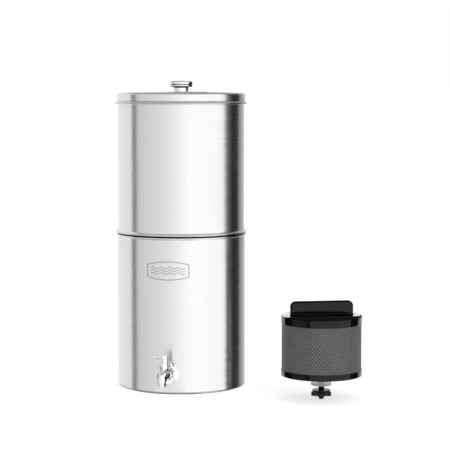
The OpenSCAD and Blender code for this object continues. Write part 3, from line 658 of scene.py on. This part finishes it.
def hand_nut():
    """A hub with a rounded bore and four arms with soft tips."""
    mesh = bmesh.new()
    hub_edge_r = NUT_HUB_R - NUT_EDGE_R
    outline = [(NUT_BORE_R, 0.5), (NUT_BORE_R + 0.5, 0)]
    outline += arc((hub_edge_r, NUT_EDGE_R), NUT_EDGE_R, -90, 0, steps=4)
    outline += arc((hub_edge_r, NUT_T - NUT_EDGE_R), NUT_EDGE_R, 0, 90, steps=4)
    outline += [(NUT_BORE_R + 0.5, NUT_T), (NUT_BORE_R, NUT_T - 0.5)]
    lathe(mesh, outline, around=96)
    half_w = NUT_ARM_W / 2
    half_t = NUT_T / 2 - 0.8
    sections = [(NUT_HUB_R - NUT_ARM_EDGE_R, half_w, half_t, NUT_ARM_EDGE_R)]
    for lean in range(0, 91, 15):
        pull = NUT_TIP_R * (1 - math.cos(math.radians(lean)))
        along = NUT_SPAN / 2 - NUT_TIP_R * (1 - math.sin(math.radians(lean)))
        sections.append((along, half_w - pull, half_t - pull * 0.6, NUT_ARM_EDGE_R))
    lay_along_x = Matrix(((0, 0, 1, 0), (1, 0, 0, 0), (0, 1, 0, 0), (0, 0, 0, 1)))
    for quarter in range(4):
        place = (Matrix.Translation((0, 0, NUT_T / 2 * MM))
                 @ Matrix.Rotation(math.radians(90 * quarter), 4, "Z") @ lay_along_x)
        loft(mesh, sections, place)
    return mesh


def netting():
    """Two crossed layers of helical strands that run into each other where they cross."""
    mesh = bmesh.new()
    low = CAP_Z + CAP_FLOOR_T + NET_END_GAP
    high = CAP_TOP_Z - CAP_FLOOR_T - NET_END_GAP
    steps = 44
    sides = 6
    for hand, radius in ((1, SLEEVE_R - NET_OUTER_GAP), (-1, SLEEVE_R - NET_INNER_GAP)):
        climb = hand * 2 * math.pi / NET_RISE_PER_TURN
        for strand in range(NET_STRANDS):
            rings = []
            for step in range(steps + 1):
                height = low + (high - low) * step / steps
                turn = 2 * math.pi * strand / NET_STRANDS + climb * (height - low)
                out = Vector((math.cos(turn), math.sin(turn), 0))
                side = Vector((-math.sin(turn), math.cos(turn), 0))
                run = (side * climb * radius + Vector((0, 0, 1))).normalized()
                across = out.cross(run)
                middle = out * radius + Vector((0, 0, height))
                ring = []
                for k in range(sides):
                    angle = 2 * math.pi * (k + 0.5) / sides
                    point = (middle + across * (NET_STRAND_W / 2 * math.cos(angle))
                             + out * (NET_STRAND_T / 2 * math.sin(angle)))
                    ring.append(mesh.verts.new(point * MM))
                rings.append(ring)
            join_rings(mesh, rings)
            mesh.faces.new(rings[0])
            mesh.faces.new(rings[-1])
    return mesh


# ---- studio ----

# How strong the world is as a light, and as what the camera and reflections see.
WORLD_LIGHT = 0.75
WORLD_SHOWN = 1.0


def studio_world():
    """An even white world."""
    world = bpy.data.worlds.new("studio")
    world.use_nodes = True
    bpy.context.scene.world = world
    tree = world.node_tree
    surface = tree.nodes["Background"]
    ray = put(tree, "LightPath").outputs
    shown = compute(tree, "MAXIMUM", ray["Is Camera Ray"], ray["Is Glossy Ray"])
    shown = compute(tree, "MAXIMUM", shown, ray["Is Transmission Ray"])
    strength = spread(tree, shown, 0.0, 1.0, WORLD_LIGHT, WORLD_SHOWN)
    tree.links.new(strength, surface.inputs["Strength"])
    surface.inputs["Color"].default_value = (1, 1, 1, 1)


# How bright the studio looks round the vessel in its reflections, as azimuth in degrees
# (0 faces the camera, 90 is at its right) and level. Two black flags make the dark bands.
STUDIO_LEVELS = [
    (-180, 0.92), (-97.5, 0.92), (-92, 0.22), (-85, 0.22), (-80.5, 0.72), (-45, 0.84),
    (-18, 0.98), (0, 1.12), (12, 1.25), (60, 1.22), (80, 1.18), (87, 0.25), (94, 0.1),
    (103, 0.02), (122, 0.03), (127, 0.3), (146, 0.5), (162, 0.8), (180, 0.8)]
STUDIO_RADIUS = 0.95
STUDIO_LOW = -0.75
STUDIO_HIGH = 1.15
STUDIO_LOW_LEVEL = 0.2
STUDIO_HIGH_LEVEL = 0.5

# The same for a card between the vessel and the standing cartridge, round that cartridge's
# axis: towards the cartridge, and towards the vessel, as bright as the studio behind it.
SHIELD_LEVELS = [(-138, 1.3), (-98, 1.3), (-94, 0.004), (-69, 0.004), (-65, 0.38),
                 (-33, 0.45), (-31, 0.1), (-26, 0.1)]
SHIELD_BACK_LEVELS = [(-138, 0.1), (-131, 0.2), (-123, 1.18), (-26, 1.22), (50, 1.25)]
SHIELD_RADIUS = 0.105
SHIELD_BACK_RADIUS = SHIELD_RADIUS + 0.001
SHIELD_LOW = -0.3
SHIELD_HIGH = 0.24
# Lower arcs that carry the card on, behind the cartridge and round its right side.
LEFT_ARC_LEVELS = [(-174, 1.3), (-138, 1.3)]
RIGHT_ARC_LEVELS = [(58, 1.2), (61, 0.01), (86, 0.01), (89, 1.3), (150, 1.3)]
ARC_HIGH = 0.145

# A dark flag bent round the knob.
KNOB_FLAG_LEVELS = [(98, 0.01), (162, 0.01)]
KNOB_FLAG_RADIUS = 45.0 * MM
KNOB_FLAG_LOW = 0.5085
KNOB_FLAG_HIGH = 0.5260

# Flat cards by the standing cartridge. Their corners are millimetres along its grip, before
# it and up. One lies before the grip and one over it, and two stand at the grip's ends.
BEFORE_GRIP = [(-80, 8, 141), (80, 8, 141), (80, 110, 141), (-80, 110, 141)]
OVER_GRIP = [(-80, 120, 168), (80, 120, 168), (80, -60, 168), (-80, -60, 168)]
GRIP_LEFT_END = [(-61, 24, 150), (-61, -30, 150), (-61, -30, 166), (-61, 24, 166)]
GRIP_RIGHT_END = [(61, 24, 150), (61, -30, 150), (61, -30, 166), (61, 24, 166)]
# A bright card behind it, as millimetres to the camera's right, towards the camera and up.
BEHIND_CARTRIDGE = [(162, 34, 139), (336, -246, 139), (336, -246, 262), (162, 34, 262)]

# Flat cards by the tap, as millimetres along X, Y and Z: at its right, left and below it.
RIGHT_OF_TAP = [(22.6, -163.0, 14.0), (14.3, -124.0, 14.0), (14.3, -124.0, 46.0),
                (12.5, -115.4, 49.0), (12.5, -115.4, 78.0), (16.2, -133.0, 78.0),
                (16.2, -133.0, 47.0), (22.6, -163.0, 44.0)]
LEFT_OF_TAP = [(-20.0, -151.0, 14.0), (-12.5, -115.4, 14.0), (-12.5, -115.4, 50.0),
               (-20.0, -151.0, 46.0)]
UNDER_TAP = [(-34.0, -112.5, 1.0), (34.0, -112.5, 1.0), (34.0, -200.0, 1.0),
             (-34.0, -200.0, 1.0)]
TAP_POINT = Vector((0, -0.14, 0.05))


def value_at(levels, azimuth):
    """The level at an azimuth, from a list of (azimuth, level) with straight lines between."""
    for (start, low), (end, high) in zip(levels, levels[1:]):
        if azimuth <= end:
            return low + (high - low) * (azimuth - start) / (end - start)
    return levels[-1][1]


# All the studio's surfaces gather in one mesh, with their levels at the vertices. They are its
# wall and two ends, and the arcs and cards that hang close to the object.
STUDIO_MESH = bmesh.new()
STUDIO_LEVEL = STUDIO_MESH.verts.layers.float_color.new("level")


def lit_corner(place, shade):
    """A vertex of the studio with its level."""
    vert = STUDIO_MESH.verts.new(place)
    vert[STUDIO_LEVEL] = grey(shade)
    return vert


def lit_arc(levels, radius, low, high, centre=Vector(), outward=False):
    """An upright arc of the studio round a centre that it faces, or has its back to if
    outward. It runs from the first azimuth of its levels to the last."""
    columns = []
    for azimuth in range(levels[0][0], levels[-1][0] + 1):
        turn = math.radians(azimuth + CAMERA_TURN)
        out = Vector((math.sin(turn) * radius, -math.cos(turn) * radius, 0))
        shade = value_at(levels, azimuth)
        columns.append([lit_corner(centre + out + Vector((0, 0, height)), shade)
                        for height in (low, high)])
    for first, second in zip(columns, columns[1:]):
        corners = [first[1], second[1], second[0], first[0]]
        STUDIO_MESH.faces.new(corners[::-1] if outward else corners)


def lit_card(corners, shade, towards):
    """A flat card of the studio that faces a point."""
    middle = sum(corners, Vector()) / len(corners)
    normal = (corners[1] - corners[0]).cross(corners[2] - corners[1])
    if normal.dot(towards - middle) < 0:
        corners = corners[::-1]
    STUDIO_MESH.faces.new([lit_corner(corner, shade) for corner in corners])


def lit_end(height, shade, around=72):
    """The studio's upper or lower end, just inside its wall."""
    radius = STUDIO_RADIUS * 0.99
    turns = [2 * math.pi * i / around for i in range(around)]
    ring = [Vector((math.sin(t) * radius, math.cos(t) * radius, height)) for t in turns]
    lit_card(ring, shade, Vector())


def hang_studio():
    """Makes the studio's surfaces one object, which only reflections see, and only from the
    front."""
    data = bpy.data.meshes.new("studio")
    STUDIO_MESH.to_mesh(data)
    STUDIO_MESH.free()
    backdrop = bpy.data.objects.new("studio", data)
    bpy.context.scene.collection.objects.link(backdrop)
    material = bpy.data.materials.new("studio glow")
    material.use_nodes = True
    tree = material.node_tree
    tree.nodes.remove(tree.nodes["Principled BSDF"])
    level = put(tree, "Attribute", attribute_name="level").outputs["Color"]
    glow = put(tree, "Emission", {"Color": level, "Strength": 1.0}).outputs[0]
    back = put(tree, "NewGeometry").outputs["Backfacing"]
    clear = put(tree, "BsdfTransparent").outputs[0]
    surface = put(tree, "MixShader", {0: back, 1: glow, 2: clear}).outputs[0]
    tree.links.new(surface, tree.nodes["Material Output"].inputs["Surface"])
    data.materials.append(material)
    backdrop.visible_camera = False
    backdrop.visible_diffuse = False
    backdrop.visible_shadow = False
    backdrop.visible_transmission = False


def seen_from_camera(right, near, up):
    """A place given as millimetres to the camera's right, towards the camera and up."""
    turn = math.radians(CAMERA_TURN)
    return Vector((right * math.cos(turn) + near * math.sin(turn),
                   right * math.sin(turn) - near * math.cos(turn), up)) * MM


def by_grip(along, before, up):
    """A place given as millimetres along the standing cartridge's grip, before it and up."""
    turn = math.radians(SPARE_GRIP_TURN)
    return SPARE_AXIS + Vector((along * math.cos(turn) + before * math.sin(turn),
                                along * math.sin(turn) - before * math.cos(turn), up)) * MM


FLOOR_HALF_W = 30.0
FLOOR_Z = -0.0002
# The floor's colour to the light that falls on it, and its colour and glow to the camera.
FLOOR_COLOUR = 0.88
FLOOR_SEEN_COLOUR = 0.5
FLOOR_GLOW = 0.68


def floor():
    """A plain pale floor that keeps the object's shadow."""
    mesh = bmesh.new()
    bmesh.ops.create_grid(mesh, x_segments=1, y_segments=1, size=FLOOR_HALF_W)
    data = bpy.data.meshes.new("floor")
    mesh.to_mesh(data)
    mesh.free()
    piece = bpy.data.objects.new("floor", data)
    piece.location = (0, 0, FLOOR_Z)
    bpy.context.scene.collection.objects.link(piece)
    material, tree, shader = new_finish("pale floor", Roughness=0.5)
    ray = put(tree, "LightPath").outputs
    shown = compute(tree, "MAXIMUM", ray["Is Camera Ray"], ray["Is Transmission Ray"])
    colour = blend_colours(tree, shown, grey(FLOOR_COLOUR), grey(FLOOR_SEEN_COLOUR))
    tree.links.new(colour, shader.inputs["Base Color"])
    shader.inputs["Specular IOR Level"].default_value = 0.0
    shader.inputs["Emission Color"].default_value = grey(1.0)
    glow = compute(tree, "MULTIPLY", shown, FLOOR_GLOW)
    tree.links.new(glow, shader.inputs["Emission Strength"])
    data.materials.append(material)
    piece.visible_glossy = False


def soft_lamp(name, place, target, size, power):
    """A square lamp that reflections don't see."""
    data = bpy.data.lights.new(name, "AREA")
    data.shape = "SQUARE"
    data.size = size
    data.energy = power
    lamp = bpy.data.objects.new(name, data)
    lamp.location = place
    lamp.rotation_euler = (Vector(target) - Vector(place)).to_track_quat("-Z", "Y").to_euler()
    lamp.visible_glossy = False
    bpy.context.scene.collection.objects.link(lamp)


studio_world()
lit_arc(STUDIO_LEVELS, STUDIO_RADIUS, STUDIO_LOW, STUDIO_HIGH)
lit_end(STUDIO_HIGH, STUDIO_HIGH_LEVEL)
lit_end(STUDIO_LOW, STUDIO_LOW_LEVEL)
lit_arc(SHIELD_LEVELS, SHIELD_RADIUS, SHIELD_LOW, SHIELD_HIGH, SPARE_AXIS)
lit_arc(SHIELD_BACK_LEVELS, SHIELD_BACK_RADIUS, SHIELD_LOW, SHIELD_HIGH, SPARE_AXIS,
        outward=True)
lit_arc(LEFT_ARC_LEVELS, SHIELD_RADIUS, SHIELD_LOW, ARC_HIGH, SPARE_AXIS)
lit_arc(RIGHT_ARC_LEVELS, SHIELD_RADIUS, SHIELD_LOW, ARC_HIGH, SPARE_AXIS)
lit_card([by_grip(*corner) for corner in BEFORE_GRIP], 0.02, SPARE_AXIS)
lit_card([by_grip(*corner) for corner in OVER_GRIP], 0.0, SPARE_AXIS)
for corners in (GRIP_LEFT_END, GRIP_RIGHT_END):
    lit_card([by_grip(*corner) for corner in corners], 0.0, by_grip(0, 0, 150))
lit_card([seen_from_camera(*corner) for corner in BEHIND_CARTRIDGE], 1.7, by_grip(0, 0, 200))
for corners, shade in ((RIGHT_OF_TAP, 0.01), (LEFT_OF_TAP, 0.05), (UNDER_TAP, 1.0)):
    lit_card([Vector(corner) * MM for corner in corners], shade, TAP_POINT)
lit_arc(KNOB_FLAG_LEVELS, KNOB_FLAG_RADIUS, KNOB_FLAG_LOW, KNOB_FLAG_HIGH)
hang_studio()
floor()
soft_lamp("key lamp", place=(1.2, -1.6, 2.0), target=(0.1, 0, 0.2), size=1.6, power=14.0)


# ---- dressing ----

# Nodes with a finish of their own instead of their slot's.
OWN_FINISH = {"upper_chamber_shell": "upper_steel", "lower_chamber_shell": "lower_steel",
              "lid_pan": "lid_steel", "badge_plate": "badge_steel"}
for subpart in frame["record"]["subparts"]:
    finish = OWN_FINISH.get(subpart["node"], subpart["material_slot"])
    slots = frame["nodes"][subpart["node"]].data.materials
    slots.clear()
    slots.append(FINISHES[finish])


def stand_at(place, turn=0.0, height=0.0):
    """A place on the ground, raised and turned round the vertical."""
    return (Matrix.Translation(Vector(place) + Vector((0, 0, height)))
            @ Matrix.Rotation(math.radians(turn), 4, "Z"))


for prefix, body, nut_body, place, grip_turn, nut_turn, rise, nut_rise in (
        ("spare", "spare_cartridge", "spare_hand_nut", SPARE_AXIS,
         SPARE_GRIP_TURN, SPARE_NUT_TURN, 0.0, SPARE_NUT_Z),
        ("cartridge", "filter_cartridge", "hand_nut", (0, 0, 0),
         0.0, 0.0, FITTED_Z, FITTED_NUT_Z)):
    make_piece(prefix + "_netting", netting(), "mesh_grey", body,
               (prefix + "_mesh_sleeve",), crease=60, place=stand_at(place, 0, rise))
    make_piece(prefix + "_top_cap_with_grip", top_cap(), "gloss_black", body,
               (prefix + "_top_cap",), place=stand_at(place, grip_turn, rise))
    make_piece(prefix + "_bottom_cap_with_thread", bottom_cap(), "gloss_black", body,
               (prefix + "_bottom_cap",), place=stand_at(place, 0, rise))
    make_piece(prefix + "_four_arm_nut", hand_nut(), "matte_black", nut_body,
               (prefix + "_hand_nut",), place=stand_at(place, nut_turn, nut_rise))
